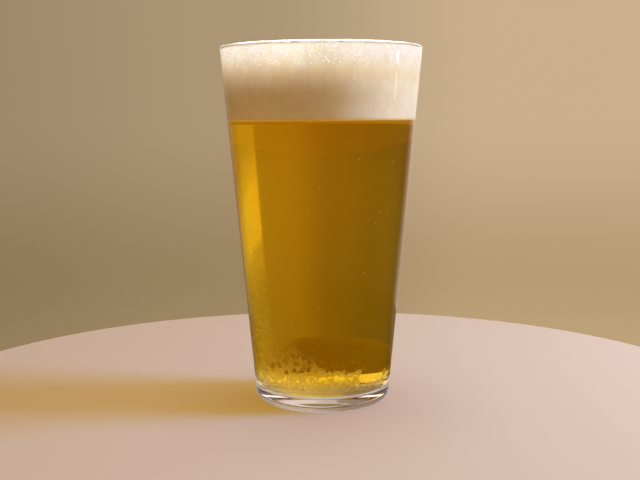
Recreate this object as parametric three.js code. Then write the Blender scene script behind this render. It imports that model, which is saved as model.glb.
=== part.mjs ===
// A pint glass of lager with a thick head of foam.
// The glass is a straight-sided tapered tumbler with a thin wall, a clear base and a rounded lip. The beer
// stands on that base, and the foam stands on the beer and reaches almost to the lip.
// Millimetres, +Z up. The origin is on the surface that the glass stands on, under its axis.

import * as THREE from "three";

// Driving dimensions of the glass. Its outside is one straight cone, and the base diameter is that of
// the cone where it would meet the surface below, before the edge is rounded.
const HEIGHT = 150;
const TOP_DIAMETER = 84.7;
const BASE_DIAMETER = 56.5;
const WALL = 1.6;
const FLOOR_THICKNESS = 5.5;
const BASE_EDGE_RADIUS = 4.8;
const INNER_CORNER_RADIUS = 6.5;

// The shallow hollow under the base leaves a flat ring to stand on.
const HOLLOW_RADIUS = 20;
const HOLLOW_DEPTH = 1.2;

// What fills the glass, as heights above the surface below.
const BEER_LEVEL = 119.7;
const FOAM_EDGE_LEVEL = 148.8;
const FOAM_CROWN = 0.7;
const FOAM_EDGE_RADIUS = 1.2;

// The foam's top has broad swells and, near the wall, blisters where large bubbles press up.
const SWELL_HEIGHT = 0.2;
const SWELL_LENGTH = 27;
const BLISTER_COUNT = 34;
const BLISTER_RADIUS = [1.8, 3.4];
const BLISTER_HEIGHT = 0.4;
const BLISTER_BAND = [0.72, 0.93];
const BLISTER_SEED = 7;

// Neighbours keep this clearance, so that each stays a separate solid.
const CLEARANCE = 0.3;

// Fineness of the round shapes. The foam has more sides, for its relief.
const SIDES = 80;
const FOAM_SIDES = 112;
const FOAM_RINGS = 18;
const ARC_STEPS = 7;
const HOLLOW_STEPS = 4;

const TAPER = (TOP_DIAMETER - BASE_DIAMETER) / 2 / HEIGHT;
const LEAN = Math.atan(TAPER);

// Radius of the outside of the glass at a height, and of the inside of its wall.
const outerRadius = (z) => BASE_DIAMETER / 2 + TAPER * z;
const innerRadius = (z) => outerRadius(z) - WALL;

// Points of an arc in the profile plane, both ends included. Angles are measured from the outward
// direction towards +Z.
function arc(centreRadius, centreHeight, radius, from, to) {
  const points = [];
  for (let i = 0; i <= ARC_STEPS; i++) {
    const angle = from + ((to - from) * i) / ARC_STEPS;
    const r = centreRadius + radius * Math.cos(angle);
    const z = centreHeight + radius * Math.sin(angle);
    points.push(new THREE.Vector2(r, z));
  }
  return points;
}

// The arc that joins a flat floor to a leaning wall, from the floor up to the wall.
function floorCorner(wallRadius, floor, radius) {
  const centreHeight = floor + radius;
  const centreRadius = wallRadius(centreHeight) - radius / Math.cos(LEAN);
  return arc(centreRadius, centreHeight, radius, -Math.PI / 2, -LEAN);
}

// Turns a profile about the vertical axis. The profile runs from the axis outwards along the bottom,
// and then up the outside, so that the faces point out.
function turned(profile, sides = SIDES) {
  return new THREE.LatheGeometry(profile, sides).rotateX(Math.PI / 2);
}

// The underside of the base: a shallow dish that meets the flat ring at its edge.
function hollowProfile() {
  const points = [];
  for (let i = 0; i <= HOLLOW_STEPS; i++) {
    const share = i / HOLLOW_STEPS;
    points.push(new THREE.Vector2(share * HOLLOW_RADIUS, HOLLOW_DEPTH * (1 - share * share)));
  }
  return points;
}

// The lip is a full round, as wide as the wall.
function lipProfile() {
  const radius = (WALL * Math.cos(LEAN)) / 2;
  const centreHeight = HEIGHT - radius;
  const centreRadius = outerRadius(centreHeight) - WALL / 2;
  return arc(centreRadius, centreHeight, radius, -LEAN, Math.PI - LEAN);
}

function glassGeometry() {
  return turned([
    ...hollowProfile(),
    ...floorCorner(outerRadius, 0, BASE_EDGE_RADIUS),
    ...lipProfile(),
    ...floorCorner(innerRadius, FLOOR_THICKNESS, INNER_CORNER_RADIUS).reverse(),
    new THREE.Vector2(0, FLOOR_THICKNESS),
  ]);
}

// Radius of what fills the glass, clear of the wall.
const fillRadius = (z) => innerRadius(z) - CLEARANCE;

function beerGeometry() {
  const floor = FLOOR_THICKNESS + CLEARANCE;
  return turned([
    new THREE.Vector2(0, floor),
    ...floorCorner(fillRadius, floor, INNER_CORNER_RADIUS - CLEARANCE),
    new THREE.Vector2(fillRadius(BEER_LEVEL), BEER_LEVEL),
    new THREE.Vector2(0, BEER_LEVEL),
  ]);
}

// A small repeatable random source: each call gives the next number from 0 to 1.
function randomSource(seed) {
  let state = seed;
  return () => {
    state = (state * 16807) % 2147483647;
    return state / 2147483647;
  };
}

const between = ([low, high], share) => low + (high - low) * share;

// The blisters lie round the foam's edge at uneven angles and sizes.
function makeBlisters() {
  const random = randomSource(BLISTER_SEED);
  const edge = fillRadius(FOAM_EDGE_LEVEL);
  return Array.from({ length: BLISTER_COUNT }, (_, i) => {
    const angle = ((i + 0.7 * random()) / BLISTER_COUNT) * 2 * Math.PI;
    const distance = edge * between(BLISTER_BAND, random());
    return {
      x: distance * Math.cos(angle),
      y: distance * Math.sin(angle),
      radius: between(BLISTER_RADIUS, random()),
    };
  });
}

const blisters = makeBlisters();

// Height of the foam's relief over its smooth crown at a place. It fades out towards the edge.
function foamRelief(x, y) {
  const edge = fillRadius(FOAM_EDGE_LEVEL);
  const wave = (2 * Math.PI) / SWELL_LENGTH;
  let height = SWELL_HEIGHT * Math.sin(wave * x + 1) * Math.cos(wave * (y - 0.4 * x));
  for (const blister of blisters) {
    const share = Math.hypot(x - blister.x, y - blister.y) / blister.radius;
    if (share < 1) height += BLISTER_HEIGHT * (1 - share * share);
  }
  const distance = Math.hypot(x, y) / edge;
  return height * Math.min(1, (1 - distance) * 12);
}

// The top of the foam from its rounded edge in to the axis, without the relief.
function crownProfile() {
  const centreHeight = FOAM_EDGE_LEVEL - FOAM_EDGE_RADIUS;
  const centreRadius = fillRadius(centreHeight) - FOAM_EDGE_RADIUS / Math.cos(LEAN);
  const points = arc(centreRadius, centreHeight, FOAM_EDGE_RADIUS, -LEAN, Math.PI / 2);
  for (let ring = FOAM_RINGS - 1; ring >= 0; ring--) {
    const share = ring / FOAM_RINGS;
    const z = FOAM_EDGE_LEVEL + FOAM_CROWN * (1 - share * share);
    points.push(new THREE.Vector2(share * centreRadius, z));
  }
  return points;
}

function foamGeometry() {
  const bottom = BEER_LEVEL + CLEARANCE;
  const profile = [
    new THREE.Vector2(0, bottom),
    new THREE.Vector2(fillRadius(bottom), bottom),
    ...crownProfile(),
  ];
  const geometry = turned(profile, FOAM_SIDES);
  const position = geometry.getAttribute("position");
  for (let i = 0; i < position.count; i++) {
    const z = position.getZ(i);
    if (z >= FOAM_EDGE_LEVEL) position.setZ(i, z + foamRelief(position.getX(i), position.getY(i)));
  }
  geometry.computeVertexNormals();
  return geometry;
}

const materials = {
  glass: new THREE.MeshStandardMaterial({
    color: 0xf2f4f0,
    roughness: 0.03,
    metalness: 0,
    transparent: true,
    opacity: 0.35,
  }),
  beer: new THREE.MeshStandardMaterial({ color: 0xb07a08, roughness: 0.05, metalness: 0 }),
  foam: new THREE.MeshStandardMaterial({ color: 0xf6ead8, roughness: 0.8, metalness: 0 }),
};

function piece(name, geometry) {
  const mesh = new THREE.Mesh(geometry, materials[name]);
  mesh.name = name;
  return mesh;
}

const pint = new THREE.Group();
pint.add(piece("glass", glassGeometry()));
pint.add(piece("beer", beerGeometry()));
pint.add(piece("foam", foamGeometry()));

export default pint;
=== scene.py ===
"""A pint of lager with a thick head, in its tapered glass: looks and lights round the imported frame.

Metres, +Z up, the same frame as the CAD model. The viewer is towards -Y.
"""

import math

import bpy
import numpy as np
from mathutils import Matrix, Vector


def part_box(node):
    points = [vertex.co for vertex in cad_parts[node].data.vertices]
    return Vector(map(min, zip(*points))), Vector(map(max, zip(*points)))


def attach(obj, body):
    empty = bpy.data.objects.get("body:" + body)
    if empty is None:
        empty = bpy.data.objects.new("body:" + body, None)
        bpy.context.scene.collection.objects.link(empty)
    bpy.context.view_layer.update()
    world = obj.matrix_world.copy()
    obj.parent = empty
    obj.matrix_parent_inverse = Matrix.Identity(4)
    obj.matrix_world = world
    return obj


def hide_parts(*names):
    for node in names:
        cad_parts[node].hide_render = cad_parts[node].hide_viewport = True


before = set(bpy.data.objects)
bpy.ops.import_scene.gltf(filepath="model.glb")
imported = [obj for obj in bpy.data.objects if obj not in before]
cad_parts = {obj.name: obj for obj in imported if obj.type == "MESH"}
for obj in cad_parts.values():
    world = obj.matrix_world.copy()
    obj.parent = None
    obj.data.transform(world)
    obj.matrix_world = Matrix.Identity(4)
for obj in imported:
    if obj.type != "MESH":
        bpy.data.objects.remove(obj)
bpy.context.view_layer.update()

MM = 0.001

# Heights that the frame gives.
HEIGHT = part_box("glass")[1].z
BEER_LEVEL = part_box("beer")[1].z
CLEARANCE = 0.3 * MM
FLOOR_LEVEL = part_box("beer")[0].z - CLEARANCE

# The outside of the glass is one straight cone between these diameters.
TOP_DIAMETER = 84.7 * MM
BASE_DIAMETER = 56.5 * MM
WALL = 1.6 * MM
BASE_EDGE_RADIUS = 4.8 * MM
INNER_CORNER_RADIUS = 6.5 * MM
HOLLOW_RADIUS = 20 * MM
HOLLOW_DEPTH = 1.2 * MM
TAPER = (TOP_DIAMETER - BASE_DIAMETER) / 2 / HEIGHT
LEAN = math.atan(TAPER)

# How far the beer and the foam reach into the wall, and the beer into the foam, so that no air shows
# between them.
INTO_WALL = 0.12 * MM
INTO_FOAM = 0.02 * MM

FOAM_EDGE_LEVEL = 149.0 * MM
FOAM_CROWN = 0.5 * MM
FOAM_EDGE_RADIUS = 0.5 * MM

# Fineness of the turned shapes: sides round the axis, steps of an arc, and rows along a straight.
SIDES = 256
FOAM_SIDES = 384
DISH_STEPS = 8
CORNER_STEPS = 14
LIP_STEPS = 20
FOAM_EDGE_STEPS = 10
FOAM_RINGS = 110
WALL_ROWS = 40
FOAM_WALL_ROWS = 30
FLOOR_ROWS = 8
BEER_TOP_ROWS = 6
STANDING_RING_ROWS = 3
# The share of a straight that its first and last rows keep from its ends.
END_ROW = 0.02
SHARP_ANGLE = math.radians(35)


# Profiles and meshes


def outer_radius(z):
    return BASE_DIAMETER / 2 + TAPER * z


def inner_radius(z):
    return outer_radius(z) - WALL


def fill_radius(z):
    """Radius of what fills the glass."""
    return inner_radius(z) + INTO_WALL


def arc(centre, radius, start, end, steps):
    """Points of an arc in the profile plane, as (radius, height), both ends included."""
    angles = np.linspace(start, end, steps + 1)
    return [(centre[0] + radius * math.cos(a), centre[1] + radius * math.sin(a)) for a in angles]


def straight(start, end, rows):
    """Points between two profile points, both ends left out, with one close to each end."""
    shares = [END_ROW, *np.linspace(0, 1, rows + 1)[1:-1], 1 - END_ROW]
    return [tuple(np.array(start) + s * (np.array(end) - np.array(start))) for s in shares]


def floor_corner(wall_radius, floor, radius):
    """The arc that joins a flat floor to the leaning wall, from the floor up."""
    height = floor + radius
    centre = (wall_radius(height) - radius / math.cos(LEAN), height)
    return arc(centre, radius, -math.pi / 2, -LEAN, CORNER_STEPS)


def ring_faces(low, high, sides):
    """Quads between two rings of points, each given by the index of its first point."""
    faces = []
    for i in range(sides):
        after = (i + 1) % sides
        faces.append((low + i, low + after, high + after, high + i))
    return faces


def fan(tip, ring, sides, facing_up):
    """Triangles between one point and a ring, given by the index of the ring's first point."""
    faces = []
    for i in range(sides):
        edge = (ring + i, ring + (i + 1) % sides)
        faces.append((tip, *(edge if facing_up else edge[::-1])))
    return faces


def solid(name, verts, faces, smooth=True):
    """A mesh object from its points and faces."""
    mesh = bpy.data.meshes.new(name)
    mesh.from_pydata(verts, [], faces)
    mesh.update()
    if smooth:
        mesh.shade_smooth()
        mesh.set_sharp_from_angle(angle=SHARP_ANGLE)
    else:
        mesh.shade_flat()
    obj = bpy.data.objects.new(name, mesh)
    bpy.context.scene.collection.objects.link(obj)
    return obj


def turned(name, profile, sides=SIDES):
    """A closed solid turned about the axis. The profile runs out from the axis along the bottom,
    up the outside and back to the axis."""
    inner = profile[1:-1]
    angles = np.arange(sides) * 2 * math.pi / sides
    verts = [(r * math.cos(a), r * math.sin(a), z) for r, z in inner for a in angles]
    bottom = len(verts)
    top = bottom + 1
    verts += [(0, 0, profile[0][1]), (0, 0, profile[-1][1])]
    faces = []
    for ring in range(len(inner) - 1):
        faces += ring_faces(ring * sides, (ring + 1) * sides, sides)
    last = (len(inner) - 1) * sides
    faces += fan(bottom, 0, sides, facing_up=False)
    faces += fan(top, last, sides, facing_up=True)
    return solid(name, verts, faces)


def dress(obj, material):
    """Gives a piece its material and ties it to the one body."""
    obj.data.materials.append(material)
    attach(obj, "root")
    return obj


# Nodes of materials. A value that a node is fed is a number, a colour or another node's output.

WHITE = (1, 1, 1)
BLACK = (0, 0, 0)


def grey(value):
    return (value, value, value)


def feed(tree, value, socket):
    if isinstance(value, bpy.types.NodeSocket):
        tree.links.new(value, socket)
    elif isinstance(value, tuple):
        socket.default_value = (*value, 1)
    else:
        socket.default_value = value


def new_material(name):
    """A material with an empty tree, the tree and its output node."""
    material = bpy.data.materials.new(name)
    material.use_nodes = True
    tree = material.node_tree
    tree.nodes.clear()
    return material, tree, tree.nodes.new("ShaderNodeOutputMaterial")


def add(tree, kind, **settings):
    """A node with its plain attributes, or its sockets where the name is a socket's."""
    node = tree.nodes.new(kind)
    for key, value in settings.items():
        socket = node.inputs.get(key.replace("_", " "))
        if socket is not None:
            feed(tree, value, socket)
        else:
            setattr(node, key, value)
    return node


def located(tree, kind="Object"):
    """A point's place on the piece or, in the world, its direction, and its X, Y and Z."""
    place = add(tree, "ShaderNodeTexCoord").outputs[kind]
    return place, add(tree, "ShaderNodeSeparateXYZ", Vector=place).outputs


def math_node(tree, kind, *values):
    node = add(tree, "ShaderNodeMath", operation=kind)
    for socket, value in zip(node.inputs, values):
        feed(tree, value, socket)
    return node.outputs[0]


def degrees_of(tree, kind, *values):
    """An inverse trigonometric function of one or two values, in degrees."""
    return math_node(tree, "DEGREES", math_node(tree, kind, *values))


def rising(tree, value, start, end):
    """0 below the start, 1 above the end, and a smooth rise between."""
    node = add(tree, "ShaderNodeMapRange", interpolation_type="SMOOTHSTEP")
    feed(tree, start, node.inputs["From Min"])
    feed(tree, end, node.inputs["From Max"])
    feed(tree, value, node.inputs["Value"])
    return node.outputs["Result"]


def ramp(tree, value, stops):
    """A colour that goes from stop to stop, each a value and a colour, as the value grows. It keeps
    the end colours beyond the ends."""
    low, high = stops[0][0], stops[-1][0]
    share = add(tree, "ShaderNodeMapRange")
    feed(tree, low, share.inputs["From Min"])
    feed(tree, high, share.inputs["From Max"])
    feed(tree, value, share.inputs["Value"])
    blend = add(tree, "ShaderNodeValToRGB", Fac=share.outputs["Result"])
    blend.color_ramp.interpolation = "EASE"
    points = blend.color_ramp.elements
    for i, (at, colour) in enumerate(stops):
        place = (at - low) / (high - low)
        point = points[i] if i < 2 else points.new(place)
        point.position = place
        point.color = (*colour, 1)
    return blend.outputs["Color"]


def noise(tree, place, scale, detail):
    return add(tree, "ShaderNodeTexNoise", Vector=place, Scale=scale, Detail=detail).outputs["Fac"]


def round_cells(tree, place, scale):
    """The distance to the middle of the nearest of many small cells."""
    return add(tree, "ShaderNodeTexVoronoi", Vector=place, Scale=scale).outputs["Distance"]


def mixed(tree, factor, first, second, kind="MIX"):
    """Two colours combined, such as by MULTIPLY or ADD."""
    node = add(tree, "ShaderNodeMix", data_type="RGBA", blend_type=kind)
    feed(tree, factor, node.inputs["Factor"])
    feed(tree, first, node.inputs[6])
    feed(tree, second, node.inputs[7])
    return node.outputs[2]


def product(tree, first, second):
    return mixed(tree, 1, first, second, "MULTIPLY")


def total(tree, first, second):
    return mixed(tree, 1, first, second, "ADD")


def light_path(tree, name):
    return add(tree, "ShaderNodeLightPath").outputs[name]


def mixed_shaders(tree, factor, first, second):
    node = add(tree, "ShaderNodeMixShader")
    for socket, value in zip(node.inputs, (factor, first, second)):
        feed(tree, value, socket)
    return node.outputs[0]


def open_to_lamps(tree, shader, tint):
    """Lets lamp light and diffuse light straight through a clear shader, so that it reaches what is
    inside and behind the glass."""
    shadow = light_path(tree, "Is Shadow Ray")
    diffuse = light_path(tree, "Is Diffuse Ray")
    clear = add(tree, "ShaderNodeBsdfTransparent", Color=tint).outputs[0]
    return mixed_shaders(tree, math_node(tree, "MAXIMUM", shadow, diffuse), shader, clear)


def clear_shader(tree, colour, ior):
    return add(
        tree, "ShaderNodeBsdfPrincipled", Base_Color=colour, Roughness=0.0, IOR=ior, Transmission_Weight=1
    )


def bumped(tree, shader, height, distance, strength, invert=False):
    """Gives a shader a bump from a height, as deep as the distance."""
    bump = add(tree, "ShaderNodeBump", Distance=distance, Strength=strength, Height=height, invert=invert)
    feed(tree, bump.outputs[0], shader.inputs["Normal"])


# The glass

GLASS_COLOUR = (0.99, 0.995, 0.99)
GLASS_IOR = 1.5
GLASS_TINT = (0.95, 0.96, 0.95)

# The glass is misted outside, low down and up its left side: the top of the mist by azimuth, 0
# towards the viewer and 90 to their right.
MIST_TOP = [
    (-180, 12 * MM),
    (-110, 36 * MM),
    (-92, 70 * MM),
    (-52, 66 * MM),
    (-38, 46 * MM),
    (-22, 27 * MM),
    (0, 19 * MM),
    (22, 18 * MM),
    (40, 11 * MM),
    (80, 13 * MM),
    (180, 12 * MM),
]
# Its top edge is ragged, by a noise of this scale and detail, and soft.
MIST_EDGE_NOISE = (210, 7)
MIST_RAGGED = 16 * MM
MIST_EDGE = 0.8 * MM
# It starts a little above the foot.
MIST_FOOT = 8.5 * MM
MIST_FOOT_EDGE = 2 * MM
# It is patchy: clear and misted where a noise is at the first and the second of these levels.
MIST_PATCH_NOISE = (420, 5)
MIST_PATCHES = (0.40, 0.56)
# It thins to this share between these heights.
MIST_THINS = (22 * MM, 60 * MM)
MIST_THINNEST = 0.25
# How rough it makes the glass, and the small droplets in it.
MIST_ROUGHNESS = 0.32
MIST_BUMP = 0.5
MIST_DROPLET_SCALE = 1500
MIST_DROPLET_HEIGHT = 0.1 * MM


def mist(tree):
    """How misted the glass is, from 0 to 1, and the place that the pattern hangs on."""
    place, parts = located(tree)
    height = parts["Z"]
    towards = math_node(tree, "MULTIPLY", parts["Y"], -1)
    azimuth = degrees_of(tree, "ARCTAN2", parts["X"], towards)
    level = ramp(tree, azimuth, [(at, grey(top / HEIGHT)) for at, top in MIST_TOP])
    level = math_node(tree, "MULTIPLY", level, HEIGHT)
    ragged = math_node(tree, "SUBTRACT", noise(tree, place, *MIST_EDGE_NOISE), 0.5)
    level = math_node(tree, "ADD", level, math_node(tree, "MULTIPLY", ragged, 2 * MIST_RAGGED))
    below = rising(tree, math_node(tree, "SUBTRACT", level, height), 0, MIST_EDGE)
    above_foot = rising(tree, height, MIST_FOOT, MIST_FOOT + MIST_FOOT_EDGE)
    patchy = rising(tree, noise(tree, place, *MIST_PATCH_NOISE), *MIST_PATCHES)
    thick = math_node(tree, "SUBTRACT", 1, rising(tree, height, *MIST_THINS))
    thick = math_node(tree, "MULTIPLY", thick, 1 - MIST_THINNEST)
    thick = math_node(tree, "ADD", thick, MIST_THINNEST)
    misted = math_node(tree, "MULTIPLY", math_node(tree, "MULTIPLY", below, above_foot), patchy)
    return math_node(tree, "MULTIPLY", misted, thick), place


def glass_material():
    material, tree, out = new_material("clear_glass")
    glass = clear_shader(tree, GLASS_COLOUR, GLASS_IOR)
    misted, place = mist(tree)
    feed(tree, math_node(tree, "MULTIPLY", misted, MIST_ROUGHNESS), glass.inputs["Roughness"])
    droplets = round_cells(tree, place, MIST_DROPLET_SCALE)
    strength = math_node(tree, "MULTIPLY", misted, MIST_BUMP)
    bumped(tree, glass, droplets, MIST_DROPLET_HEIGHT, strength)
    feed(tree, open_to_lamps(tree, glass.outputs[0], GLASS_TINT), out.inputs["Surface"])
    return material


def glass_profile():
    dish = []
    for share in np.linspace(0, 1, DISH_STEPS + 1):
        dish.append((share * HOLLOW_RADIUS, HOLLOW_DEPTH * (1 - share * share)))
    lip = WALL * math.cos(LEAN) / 2
    lip_centre = (outer_radius(HEIGHT - lip) - WALL / 2, HEIGHT - lip)
    base_edge = floor_corner(outer_radius, 0, BASE_EDGE_RADIUS)
    lip_arc = arc(lip_centre, lip, -LEAN, math.pi - LEAN, LIP_STEPS)
    inside = floor_corner(inner_radius, FLOOR_LEVEL, INNER_CORNER_RADIUS)[::-1]
    floor_centre = (0, FLOOR_LEVEL)
    return [
        *dish,
        *straight(dish[-1], base_edge[0], STANDING_RING_ROWS),
        *base_edge,
        *straight(base_edge[-1], lip_arc[0], WALL_ROWS),
        *lip_arc,
        *straight(lip_arc[-1], inside[0], WALL_ROWS),
        *inside,
        *straight(inside[-1], floor_centre, FLOOR_ROWS),
        floor_centre,
    ]


def make_glass():
    glass = turned("tumbler", glass_profile())
    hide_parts("glass")
    return dress(glass, glass_material())


# The beer

BEER_IOR = 1.34
# What it lets through, and how fast it deepens.
BEER_COLOUR = (0.961, 0.849, 0.0)
BEER_DENSITY = 75.0


def beer_material():
    material, tree, out = new_material("lager")
    beer = clear_shader(tree, WHITE, BEER_IOR)
    depth = add(tree, "ShaderNodeVolumeAbsorption", Color=BEER_COLOUR, Density=BEER_DENSITY)
    feed(tree, open_to_lamps(tree, beer.outputs[0], WHITE), out.inputs["Surface"])
    feed(tree, depth.outputs[0], out.inputs["Volume"])
    return material


def make_beer():
    floor = FLOOR_LEVEL - INTO_WALL
    corner = floor_corner(fill_radius, floor, INNER_CORNER_RADIUS + INTO_WALL)
    top = BEER_LEVEL + INTO_FOAM
    rim = (fill_radius(top), top)
    profile = [
        (0, floor),
        *straight((0, floor), corner[0], FLOOR_ROWS),
        *corner,
        *straight(corner[-1], rim, WALL_ROWS),
        rim,
        *straight(rim, (0, top), BEER_TOP_ROWS),
        (0, top),
    ]
    beer = turned("lager", profile)
    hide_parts("beer")
    return dress(beer, beer_material())


# The foam

FOAM_ROUGHNESS = 0.55
FOAM_IOR = 1.3
FOAM_SPECULAR = 0.15
# How deep light soaks into it, in red, green and blue.
FOAM_SOAK = (1.0, 0.85, 0.6)
FOAM_SOAK_DEPTH = 2.5 * MM
# Its colour by height is mostly painted light and shade: a creamy yellow at the foot, partly the beer's
# own tint and partly painted light from the beer, a darker cream band below the top, painted shade where
# the light from above fades, and white at the top, painted light where that light falls.
FOAM_PAINTED_LIGHT_BY_HEIGHT = [
    (BEER_LEVEL, (0.95, 0.80, 0.46)),
    (BEER_LEVEL + 1.6 * MM, (0.985, 0.95, 0.82)),
    (HEIGHT - 18 * MM, (0.985, 0.945, 0.81)),
    (HEIGHT - 12 * MM, (0.94, 0.875, 0.70)),
    (HEIGHT - 4 * MM, (0.99, 0.98, 0.965)),
]
# A painted glow on its underside stands for the light that comes down through the head.
FOAM_UNDERSIDE_PAINTED_GLOW = [
    (BEER_LEVEL, (0.13, 0.09, 0.01)),
    (BEER_LEVEL + 0.1 * MM, BLACK),
]
# Coarse bubbles come in between these heights, over fine cloudy foam.
COARSE_SCALE = 1100
COARSE_BAND = (HEIGHT - 13 * MM, HEIGHT - 3 * MM)
CLOUDY_NOISE = (900, 5)
CLOUDY_SHARE = 0.6
CELL_SHADES = [(0.1, WHITE), (0.9, (0.93, 0.91, 0.885))]
CELL_BUMP = 0.5
CELL_HEIGHT = 0.15 * MM
# Faint upright streaks, where the foam has slid along the glass.
STREAK_NOISE = (700, 3)
STREAK_LENGTH = 14
STREAK_SHADES = [(0.35, (0.982, 0.977, 0.968)), (0.65, WHITE)]
# Faint clouds of finer and coarser bubbles.
PATCH_NOISE = (230, 3)
PATCH_SHADES = [(0.38, (0.955, 0.94, 0.915)), (0.6, WHITE)]


def streaks(tree, place):
    """Noise that is drawn out along the height."""
    drawn = add(tree, "ShaderNodeMapping", Vector=place)
    drawn.inputs["Scale"].default_value = (1, 1, 1 / STREAK_LENGTH)
    return noise(tree, drawn.outputs["Vector"], *STREAK_NOISE)


def foam_cells(tree, place, height):
    """Coarse bubbles in the top few millimetres, and ever finer ones below."""
    near_top = rising(tree, height, *COARSE_BAND)
    coarse = math_node(tree, "MULTIPLY", round_cells(tree, place, COARSE_SCALE), near_top)
    cloudy = math_node(tree, "MULTIPLY", noise(tree, place, *CLOUDY_NOISE), CLOUDY_SHARE)
    return math_node(tree, "ADD", coarse, cloudy)


def foam_material():
    """Foam that light soaks into, its colour creamy with painted light and shade."""
    material, tree, out = new_material("foam")
    place, parts = located(tree)
    cells = foam_cells(tree, place, parts["Z"])
    shade = ramp(tree, cells, CELL_SHADES)
    shade = product(tree, shade, ramp(tree, streaks(tree, place), STREAK_SHADES))
    shade = product(tree, shade, ramp(tree, noise(tree, place, *PATCH_NOISE), PATCH_SHADES))
    # Its base colour carries painted light and shade by height, and its underside a painted glow.
    foam = add(
        tree,
        "ShaderNodeBsdfPrincipled",
        Base_Color=product(tree, shade, ramp(tree, parts["Z"], FOAM_PAINTED_LIGHT_BY_HEIGHT)),
        Roughness=FOAM_ROUGHNESS,
        IOR=FOAM_IOR,
        Specular_IOR_Level=FOAM_SPECULAR,
        Subsurface_Weight=1,
        Subsurface_Scale=FOAM_SOAK_DEPTH,
        Emission_Color=ramp(tree, parts["Z"], FOAM_UNDERSIDE_PAINTED_GLOW),
        Emission_Strength=1,
    )
    foam.inputs["Subsurface Radius"].default_value = FOAM_SOAK
    bumped(tree, foam, cells, CELL_HEIGHT, CELL_BUMP, invert=True)
    feed(tree, foam.outputs[0], out.inputs["Surface"])
    return material


# Its top: broad swells, blisters near the wall, and fine bubbles all over.
SWELL_HEIGHT = 0.2 * MM
SWELL_LENGTH = 27 * MM
SWELL_SHIFT = 1
SWELL_SLANT = 0.4
BLISTER_COUNT = 34
BLISTER_RADIUS = (1.8 * MM, 3.4 * MM)
BLISTER_HEIGHT = 0.4 * MM
BLISTER_BAND = (0.72, 0.93)
BLISTER_SPACING = 0.7
BLISTER_SEED = 7
FINE_COUNT = 900
FINE_RADIUS = (0.4 * MM, 1.2 * MM)
FINE_HEIGHT = 0.17 * MM
FINE_REACH = 0.96
FINE_SEED = 11
# The relief fades out over the last twelfth of the radius.
RELIEF_FADE = 12
LEVEL_TOLERANCE = 0.001 * MM

# A common rule for repeatable random numbers.
RANDOM_FACTOR = 16807
RANDOM_MODULUS = 2147483647


def random_source(seed):
    """A small repeatable random source: each call gives the next number from 0 to 1."""
    state = seed

    def draw():
        nonlocal state
        state = state * RANDOM_FACTOR % RANDOM_MODULUS
        return state / RANDOM_MODULUS

    return draw


def between(limits, share):
    return limits[0] + (limits[1] - limits[0]) * share


def make_blisters(edge):
    """Places and radii of the blisters, round the edge at uneven angles and sizes."""
    draw = random_source(BLISTER_SEED)
    blisters = []
    for i in range(BLISTER_COUNT):
        angle = (i + BLISTER_SPACING * draw()) / BLISTER_COUNT * 2 * math.pi
        distance = edge * between(BLISTER_BAND, draw())
        radius = between(BLISTER_RADIUS, draw())
        blisters.append((distance * math.cos(angle), distance * math.sin(angle), radius))
    return blisters


def fine_bubbles(x, y, edge):
    """Height of the fine bubbles, each a flat-topped dome that is the taller the wider it is."""
    random = np.random.default_rng(FINE_SEED)
    angle = random.uniform(0, 2 * math.pi, FINE_COUNT)
    distance = edge * FINE_REACH * np.sqrt(random.uniform(0, 1, FINE_COUNT))
    radius = between(FINE_RADIUS, random.uniform(0, 1, FINE_COUNT) ** 2)
    fine = np.zeros_like(x)
    for a, d, r in zip(angle, distance, radius):
        share = np.hypot(x - d * math.cos(a), y - d * math.sin(a)) / r
        dome = FINE_HEIGHT * r / FINE_RADIUS[1] * np.clip(1 - share**4, 0, None)
        fine = np.maximum(fine, dome)
    return fine


def foam_relief(x, y):
    """Height of the relief over the smooth crown, for arrays of places. It fades out at the edge."""
    edge = inner_radius(FOAM_EDGE_LEVEL) - CLEARANCE
    wave = 2 * math.pi / SWELL_LENGTH
    height = SWELL_HEIGHT * np.sin(wave * x + SWELL_SHIFT) * np.cos(wave * (y - SWELL_SLANT * x))
    for bx, by, radius in make_blisters(edge):
        share = np.hypot(x - bx, y - by) / radius
        height += BLISTER_HEIGHT * np.clip(1 - share * share, 0, None)
    fade = np.clip((1 - np.hypot(x, y) / edge) * RELIEF_FADE, 0, 1)
    return (height + fine_bubbles(x, y, edge)) * fade


def foam_profile():
    centre_height = FOAM_EDGE_LEVEL - FOAM_EDGE_RADIUS
    centre_radius = fill_radius(centre_height) - FOAM_EDGE_RADIUS / math.cos(LEAN)
    edge = arc((centre_radius, centre_height), FOAM_EDGE_RADIUS, -LEAN, math.pi / 2, FOAM_EDGE_STEPS)
    foot = (fill_radius(BEER_LEVEL), BEER_LEVEL)
    crown = []
    for share in np.linspace(1, 0, FOAM_RINGS)[1:]:
        crown.append((share * centre_radius, FOAM_EDGE_LEVEL + FOAM_CROWN * (1 - share * share)))
    return [
        (0, BEER_LEVEL),
        *straight((0, BEER_LEVEL), foot, FLOOR_ROWS),
        foot,
        *straight(foot, edge[0], FOAM_WALL_ROWS),
        *edge,
        *crown,
    ]


def make_foam():
    foam = turned("foam_head", foam_profile(), FOAM_SIDES)
    points = np.array([v.co for v in foam.data.vertices])
    top = points[:, 2] >= FOAM_EDGE_LEVEL - LEVEL_TOLERANCE
    points[top, 2] += foam_relief(points[top, 0], points[top, 1])
    foam.data.vertices.foreach_set("co", points.ravel())
    foam.data.update()
    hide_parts("foam")
    return dress(foam, foam_material())


# Small things in great number: each kind is one mesh


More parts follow.
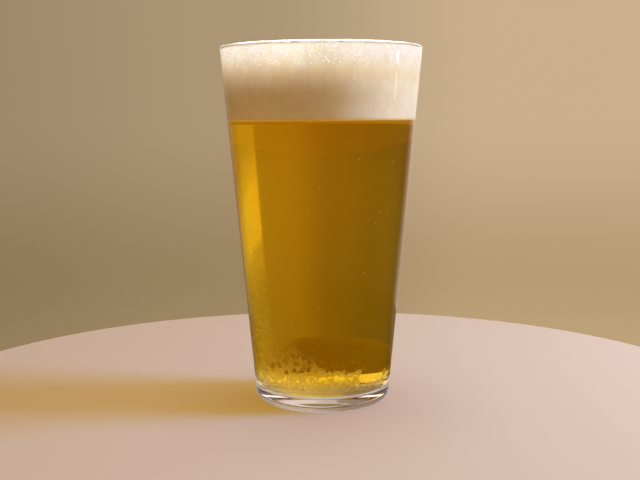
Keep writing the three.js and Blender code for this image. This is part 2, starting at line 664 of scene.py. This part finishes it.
def ball(rings, sides, flatness=1.0):
    """Points and faces of a closed ball of radius 1, flattened along Z."""
    verts = [(0, 0, -flatness)]
    for ring in range(1, rings):
        tilt = math.pi * ring / rings
        for i in range(sides):
            turn = 2 * math.pi * i / sides
            flat = math.sin(tilt)
            verts.append((flat * math.cos(turn), flat * math.sin(turn), -flatness * math.cos(tilt)))
    verts.append((0, 0, flatness))
    last = len(verts) - 1
    faces = fan(0, 1, sides, facing_up=False)
    for ring in range(rings - 2):
        faces += ring_faces(1 + ring * sides, 1 + (ring + 1) * sides, sides)
    faces += fan(last, last - sides, sides, facing_up=True)
    return verts, faces


def on_wall(azimuth, height, radius, size, stretch=1.0):
    """The matrix of a small shape on the wall. Azimuth is 0 towards the viewer and 90 to their
    right, and the shape's Z points outwards."""
    a = math.radians(azimuth)
    outwards = Vector((math.sin(a), -math.cos(a), -TAPER)).normalized()
    turn = outwards.to_track_quat("Z", "Y").to_matrix().to_4x4()
    place = Vector((radius * math.sin(a), -radius * math.cos(a), height))
    return Matrix.Translation(place) @ turn @ Matrix.Diagonal((size, size * stretch, size, 1))


def scattered(name, verts, faces, matrices):
    """One mesh of copies of a small shape, each placed by a matrix."""
    verts = np.array(verts)
    all_verts = []
    all_faces = []
    for i, matrix in enumerate(matrices):
        spin = np.array(matrix.to_3x3())
        all_verts.append(verts @ spin.T + np.array(matrix.translation))
        all_faces += [tuple(v + i * len(verts) for v in face) for face in faces]
    return solid(name, np.concatenate(all_verts).tolist(), all_faces)


# Water drops outside on the glass, in patches: azimuths, heights and count. Most are small.
DROP_PATCHES = [
    ((-96, -60), (34 * MM, 74 * MM), 260),
    ((-58, -38), (32 * MM, 76 * MM), 520),
    ((-90, -10), (9 * MM, 33 * MM), 650),
    ((-10, 34), (9 * MM, 17 * MM), 160),
    ((50, 92), (36 * MM, 96 * MM), 260),
    ((92, 264), (9 * MM, 20 * MM), 420),
]
DROP_RADIUS = (0.08 * MM, 0.26 * MM)
DROP_SMALLNESS = 4
DROP_STRETCH = (0.9, 1.35)
DROP_FLATNESS = 0.45
DROP_SEED = 5
# Rings and sides of a drop.
DROP_FINENESS = (5, 8)
WATER_IOR = 1.33


def water_material():
    material, tree, out = new_material("water")
    water = clear_shader(tree, WHITE, WATER_IOR)
    feed(tree, open_to_lamps(tree, water.outputs[0], WHITE), out.inputs["Surface"])
    return material


def make_drops():
    random = np.random.default_rng(DROP_SEED)
    matrices = []
    for azimuths, heights, count in DROP_PATCHES:
        for _ in range(count):
            azimuth = random.uniform(*azimuths)
            height = random.uniform(*heights)
            size = between(DROP_RADIUS, random.uniform() ** DROP_SMALLNESS)
            stretch = random.uniform(*DROP_STRETCH)
            matrices.append(on_wall(azimuth, height, outer_radius(height), size, stretch))
    drops = scattered("water_drops", *ball(*DROP_FINENESS, DROP_FLATNESS), matrices)
    return dress(drops, water_material())


# Bubbles that cling to the wall inside: in the beer, and larger ones in the top of the foam. A glint
# is a painted glow that stands for the light that so small a film catches, and an inset is a share of the
# bubble's radius.
BUBBLE_FINENESS = (6, 8)
BUBBLE_ROUGHNESS = 0.25
ALL_ROUND = (-180, 180)
BEER_BUBBLES = 70
BEER_BUBBLE_RADIUS = (0.09 * MM, 0.2 * MM)
BEER_BUBBLE_HEIGHTS = (14 * MM, BEER_LEVEL - 2 * MM)
BEER_BUBBLE_INSET = 1.1
BEER_BUBBLE_COLOUR = (0.95, 0.78, 0.38)
BEER_BUBBLE_PAINTED_GLINT = 0.2
BEER_BUBBLE_SEED = 3
FOAM_BUBBLES = 1300
FOAM_BUBBLE_RADIUS = (0.1 * MM, 0.34 * MM)
FOAM_BUBBLE_TOP = FOAM_EDGE_LEVEL - 1 * MM
FOAM_BUBBLE_DEPTH = 7 * MM
FOAM_BUBBLE_CROWDING = 1.6
FOAM_BUBBLE_INSET = 0.35
FOAM_BUBBLE_COLOUR = (0.98, 0.96, 0.93)
FOAM_BUBBLE_PAINTED_GLINT = 0.3
FOAM_BUBBLE_SEED = 4


def bubble_material(name, colour, glint):
    material, tree, out = new_material(name)
    # The emission is a painted glint.
    film = add(
        tree,
        "ShaderNodeBsdfPrincipled",
        Base_Color=colour,
        Roughness=BUBBLE_ROUGHNESS,
        Emission_Color=colour,
        Emission_Strength=glint,
    )
    feed(tree, film.outputs[0], out.inputs["Surface"])
    return material


def make_beer_bubbles():
    random = np.random.default_rng(BEER_BUBBLE_SEED)
    matrices = []
    for _ in range(BEER_BUBBLES):
        height = random.uniform(*BEER_BUBBLE_HEIGHTS)
        azimuth = random.uniform(*ALL_ROUND)
        size = between(BEER_BUBBLE_RADIUS, random.uniform())
        radius = inner_radius(height) - BEER_BUBBLE_INSET * size
        matrices.append(on_wall(azimuth, height, radius, size))
    bubbles = scattered("beer_bubbles", *ball(*BUBBLE_FINENESS), matrices)
    return dress(bubbles, bubble_material("beer_bubble", BEER_BUBBLE_COLOUR, BEER_BUBBLE_PAINTED_GLINT))


def make_foam_bubbles():
    random = np.random.default_rng(FOAM_BUBBLE_SEED)
    matrices = []
    for _ in range(FOAM_BUBBLES):
        height = FOAM_BUBBLE_TOP - FOAM_BUBBLE_DEPTH * random.uniform() ** FOAM_BUBBLE_CROWDING
        azimuth = random.uniform(*ALL_ROUND)
        size = between(FOAM_BUBBLE_RADIUS, random.uniform() ** 2)
        radius = fill_radius(height) - FOAM_BUBBLE_INSET * size
        matrices.append(on_wall(azimuth, height, radius, size))
    bubbles = scattered("foam_bubbles", *ball(*BUBBLE_FINENESS), matrices)
    return dress(bubbles, bubble_material("foam_bubble", FOAM_BUBBLE_COLOUR, FOAM_BUBBLE_PAINTED_GLINT))


# The floor is pale and plain. Through the glass and the beer it shows instead a painted glow: a bright
# disc round the base on warm, dim ground, which is lighter on the right. Mirrored in them the painted
# ground is darker.
FLOOR_RADIUS = 0.19
FLOOR_SIDES = 128
FLOOR_COLOUR = (0.80, 0.77, 0.73)
FLOOR_ROUGHNESS = 0.6
BRIGHT_DISC = (1.05, 0.98, 0.95)
MIRRORED_DISC = (0.5, 0.48, 0.48)
DISC_EDGE = (50 * MM, 53 * MM)
# By distance from the axis.
GROUND = [
    (53 * MM, (0.31, 0.18, 0.02)),
    (150 * MM, (0.32, 0.195, 0.03)),
    (FLOOR_RADIUS, (0.35, 0.23, 0.05)),
]
MIRRORED_GROUND = [
    (53 * MM, (0.31, 0.18, 0.02)),
    (80 * MM, (0.24, 0.18, 0.10)),
]
# By azimuth from straight behind the glass to the viewer's right.
GROUND_BY_AZIMUTH = [
    (-180, (1.5, 1.6, 2)),
    (-60, (1.4, 1.5, 2)),
    (-40, WHITE),
    (3, WHITE),
    (16, (1.7, 1.7, 1.1)),
    (27, (2.6, 2.6, 1.3)),
    (60, (3.6, 3.6, 1.5)),
    (100, (1.5, 1.6, 2)),
]
MIRRORED_GROUND_BY_AZIMUTH = [
    (-60, (0.04, 0.04, 0.03)),
    (-40, WHITE),
    (40, WHITE),
    (60, (0.04, 0.04, 0.03)),
]


def floor_glow(tree, disc, ground, around):
    """The floor's painted glow by distance from the axis: the bright disc, then the ground."""
    place, parts = located(tree)
    distance = add(tree, "ShaderNodeVectorMath", operation="LENGTH", Vector=place).outputs["Value"]
    azimuth = degrees_of(tree, "ARCTAN2", parts["X"], parts["Y"])
    ground = product(tree, ramp(tree, distance, ground), ramp(tree, azimuth, around))
    inner, outer = DISC_EDGE
    return total(tree, ground, ramp(tree, distance, [(inner, disc), (outer, BLACK)]))


def floor_material():
    material, tree, out = new_material("floor")
    floor = add(tree, "ShaderNodeBsdfPrincipled", Base_Color=FLOOR_COLOUR, Roughness=FLOOR_ROUGHNESS)
    floor.inputs["Specular IOR Level"].default_value = 0.0
    # Through and off the glass the floor shows a painted glow, not its lit colour.
    through = floor_glow(tree, BRIGHT_DISC, GROUND, GROUND_BY_AZIMUTH)
    mirrored = floor_glow(tree, MIRRORED_DISC, MIRRORED_GROUND, MIRRORED_GROUND_BY_AZIMUTH)
    colour = mixed(tree, light_path(tree, "Glossy Depth"), through, mirrored)
    glow = add(tree, "ShaderNodeEmission", Color=colour).outputs[0]
    surface = mixed_shaders(tree, light_path(tree, "Is Glossy Ray"), floor.outputs[0], glow)
    feed(tree, surface, out.inputs["Surface"])
    return material


def make_floor():
    ring = [2 * math.pi * i / FLOOR_SIDES for i in range(FLOOR_SIDES)]
    verts = [(FLOOR_RADIUS * math.cos(a), FLOOR_RADIUS * math.sin(a), 0) for a in ring]
    floor = solid("floor", verts, [tuple(range(FLOOR_SIDES))], smooth=False)
    floor.data.materials.append(floor_material())


# Lamps. Their azimuth is 0 behind the glass and 90 to the viewer's right, in degrees.

# Panels: name, azimuth, elevation, distance, width and height, and brightness. The glints are
# those that show mirrored in the glass.
MIDDLE = 90 * MM
SOFT_PANELS = [
    ("ceiling", 0, 84, 1.2, (0.5, 0.5), (2.4, 2.3, 2.2)),
    ("right", 90, 20, 0.9, (0.3, 0.5), (14, 14.6, 17)),
]
GLINTS = [
    ("glint_high", 86, 0, 0.9, (0.07, 0.017), (6, 5.6, 5)),
    ("glint_low", 86, -2.4, 0.9, (0.05, 0.034), (2.0, 1.9, 1.7)),
]
# Panels behind a grid light the head all round: name, azimuth and brightness. Their light fades down
# from the top of the head over this reach.
HEAD_GLOWS = [
    ("head_front_left", -140, (1.5, 1.52, 1.5)),
    ("head_front", 180, (2.1, 2.2, 2.15)),
    ("head_back_left", -50, (1.8, 1.9, 1.9)),
    ("head_back", 25, (1.8, 1.9, 1.9)),
]
HEAD_GLOW_AIM = 153 * MM
HEAD_GLOW_REACH = 22 * MM
HEAD_GLOW_DISTANCE = 0.5
HEAD_GLOW_SIZE = (0.14, 0.01)
# A narrow round beam on the top of the head, as wide as given where it lands.
SPOT_AZIMUTH = 15
SPOT_ELEVATION = 58
SPOT_DISTANCE = 0.7
SPOT_WIDTH = 66 * MM
SPOT_POWER = 7.5
SPOT_BLEND = 0.35
SPOT_SOFTNESS = 2 * MM


def placed(data, azimuth, elevation, distance, aim):
    """A lamp that faces the axis at the height aimed at."""
    light = bpy.data.objects.new(data.name, data)
    bpy.context.scene.collection.objects.link(light)
    a, e = math.radians(azimuth), math.radians(elevation)
    away = Vector((math.sin(a) * math.cos(e), math.cos(a) * math.cos(e), math.sin(e)))
    light.location = Vector((0, 0, aim)) + distance * away
    light.rotation_euler = away.to_track_quat("Z", "Y").to_euler()
    return light


def panel(name, azimuth, elevation, distance, size, radiance, aim=MIDDLE):
    """A soft light panel of a width and height, hidden from mirrored and refracted rays."""
    data = bpy.data.lights.new(name, "AREA")
    data.shape = "RECTANGLE"
    data.size, data.size_y = size
    strongest = max(radiance)
    data.color = [c / strongest for c in radiance]
    data.energy = strongest * math.pi * data.size * data.size_y
    light = placed(data, azimuth, elevation, distance, aim)
    light.visible_camera = False
    light.visible_glossy = False
    light.visible_transmission = False
    return light


def head_glow(name, azimuth, radiance):
    light = panel(name, azimuth, 0, HEAD_GLOW_DISTANCE, HEAD_GLOW_SIZE, radiance, HEAD_GLOW_AIM)
    light.data.spread = 2 * math.atan(HEAD_GLOW_REACH / HEAD_GLOW_DISTANCE)


def head_spot():
    data = bpy.data.lights.new("head_spot", "SPOT")
    data.energy = SPOT_POWER
    data.spot_size = 2 * math.atan(SPOT_WIDTH / 2 / SPOT_DISTANCE)
    data.spot_blend = SPOT_BLEND
    data.shadow_soft_size = SPOT_SOFTNESS
    light = placed(data, SPOT_AZIMUTH, SPOT_ELEVATION, SPOT_DISTANCE, FOAM_EDGE_LEVEL)
    light.visible_glossy = False


# The surroundings: soft warm grey, by azimuth from straight behind the glass to the viewer's right,
# and by elevation.
BACKDROP_BY_AZIMUTH = [
    (-180, (0.42, 0.32, 0.19)),
    (-60, (0.30, 0.22, 0.13)),
    (-20, (0.35, 0.255, 0.15)),
    (-4, (0.42, 0.31, 0.182)),
    (10, (0.60, 0.44, 0.27)),
    (60, (0.62, 0.46, 0.29)),
    (180, (0.42, 0.32, 0.19)),
]
BACKDROP_BY_ELEVATION = [
    (-30, (1.6, 1.5, 1.2)),
    (-13, (0.85, 0.82, 0.72)),
    (-9, (0.79, 0.75, 0.65)),
    (0, grey(0.98)),
    (35, WHITE),
    (60, (1.8, 2.2, 3.0)),
]
# Seen through the glass, a soft bright area stands towards the right behind it.
SOFT_AREA_BY_AZIMUTH = [
    (20, BLACK),
    (22.5, (0.02, 0.02, 0.01)),
    (25, (0.62, 0.5, 0.3)),
    (37, (0.66, 0.56, 0.38)),
    (50, (0.46, 0.36, 0.2)),
    (68, BLACK),
]
SOFT_AREA_BY_ELEVATION = [
    (-5.2, grey(0.05)),
    (-2.7, grey(0.4)),
    (-1.8, grey(0.92)),
    (1, grey(0.97)),
    (1.6, grey(0.72)),
    (4, grey(0.36)),
    (12, BLACK),
]
# Seen through the beer, it darkens a little towards the top.
THROUGH_BY_ELEVATION = [
    (0.8, WHITE),
    (3.4, (0.94, 0.91, 0.9)),
]
# Mirrored in the glass, it is dark on the viewer's side.
MIRRORED_BY_AZIMUTH = [
    (-48, grey(0.08)),
    (-30, (0.8, 0.8, 0.9)),
    (-9, (0.8, 0.8, 0.9)),
    (-7, (1.3, 1.45, 2.1)),
    (23, (1.3, 1.45, 2.1)),
    (28, (1.1, 1.2, 1.4)),
    (48, grey(0.08)),
]
# Mirrored straight off the outside, overhead it is bright, which draws a white line along the lip.
MIRRORED_OVERHEAD = [
    (28, BLACK),
    (38, (20, 19.5, 18.5)),
]
# What it sheds on matt surfaces.
AMBIENT = (0.40, 0.20, 0.055)


def make_world():
    world = bpy.data.worlds.new("surroundings")
    world.use_nodes = True
    tree = world.node_tree
    _, parts = located(tree, "Generated")
    azimuth = degrees_of(tree, "ARCTAN2", parts["X"], parts["Y"])
    elevation = degrees_of(tree, "ARCSINE", parts["Z"])

    def around(by_azimuth, by_elevation):
        return product(tree, ramp(tree, azimuth, by_azimuth), ramp(tree, elevation, by_elevation))

    backdrop = around(BACKDROP_BY_AZIMUTH, BACKDROP_BY_ELEVATION)
    through = total(tree, backdrop, around(SOFT_AREA_BY_AZIMUTH, SOFT_AREA_BY_ELEVATION))
    through = product(tree, through, ramp(tree, elevation, THROUGH_BY_ELEVATION))
    mirrored = product(tree, backdrop, ramp(tree, azimuth, MIRRORED_BY_AZIMUTH))
    overhead = ramp(tree, elevation, MIRRORED_OVERHEAD)
    overhead = mixed(tree, light_path(tree, "Transmission Depth"), overhead, BLACK)
    mirrored = total(tree, mirrored, overhead)
    colour = mixed(tree, light_path(tree, "Is Camera Ray"), through, backdrop)
    colour = mixed(tree, light_path(tree, "Glossy Depth"), colour, mirrored)
    colour = mixed(tree, light_path(tree, "Is Diffuse Ray"), colour, AMBIENT)
    feed(tree, colour, tree.nodes["Background"].inputs["Color"])
    bpy.context.scene.world = world


def make_lights():
    for soft_panel in SOFT_PANELS:
        panel(*soft_panel)
    for glow in HEAD_GLOWS:
        head_glow(*glow)
    head_spot()
    for glint in GLINTS:
        panel(*glint).visible_glossy = True
    make_world()


# The camera's place and angles, as fitted to the photograph.
CAMERA_PLACE = Vector((-0.8 * MM, -428.6 * MM, 121.6 * MM))
CAMERA_PITCH = math.radians(7.05)
CAMERA_ROLL = math.radians(-0.306)
CAMERA_LENS = 56.8
CAMERA_SENSOR = 36


def make_camera():
    data = bpy.data.cameras.new("camera")
    data.sensor_width = CAMERA_SENSOR
    data.lens = CAMERA_LENS
    camera = bpy.data.objects.new("camera", data)
    bpy.context.scene.collection.objects.link(camera)
    turn = Matrix.Rotation(math.pi / 2 - CAMERA_PITCH, 4, "X") @ Matrix.Rotation(CAMERA_ROLL, 4, "Z")
    camera.matrix_world = Matrix.Translation(CAMERA_PLACE) @ turn
    bpy.context.scene.camera = camera


# Light crosses many clear surfaces here, and few others.
CLEAR_BOUNCES = 24
GLOSSY_BOUNCES = 8
DIFFUSE_BOUNCES = 4


def set_render():
    scene = bpy.context.scene
    scene.view_settings.view_transform = "Standard"
    cycles = scene.cycles
    cycles.max_bounces = CLEAR_BOUNCES
    cycles.transmission_bounces = CLEAR_BOUNCES
    cycles.transparent_max_bounces = CLEAR_BOUNCES
    cycles.glossy_bounces = GLOSSY_BOUNCES
    cycles.diffuse_bounces = DIFFUSE_BOUNCES
    cycles.use_denoising = True


make_camera()
make_floor()
make_lights()
make_glass()
make_beer()
make_foam()
make_drops()
make_beer_bubbles()
make_foam_bubbles()
set_render()
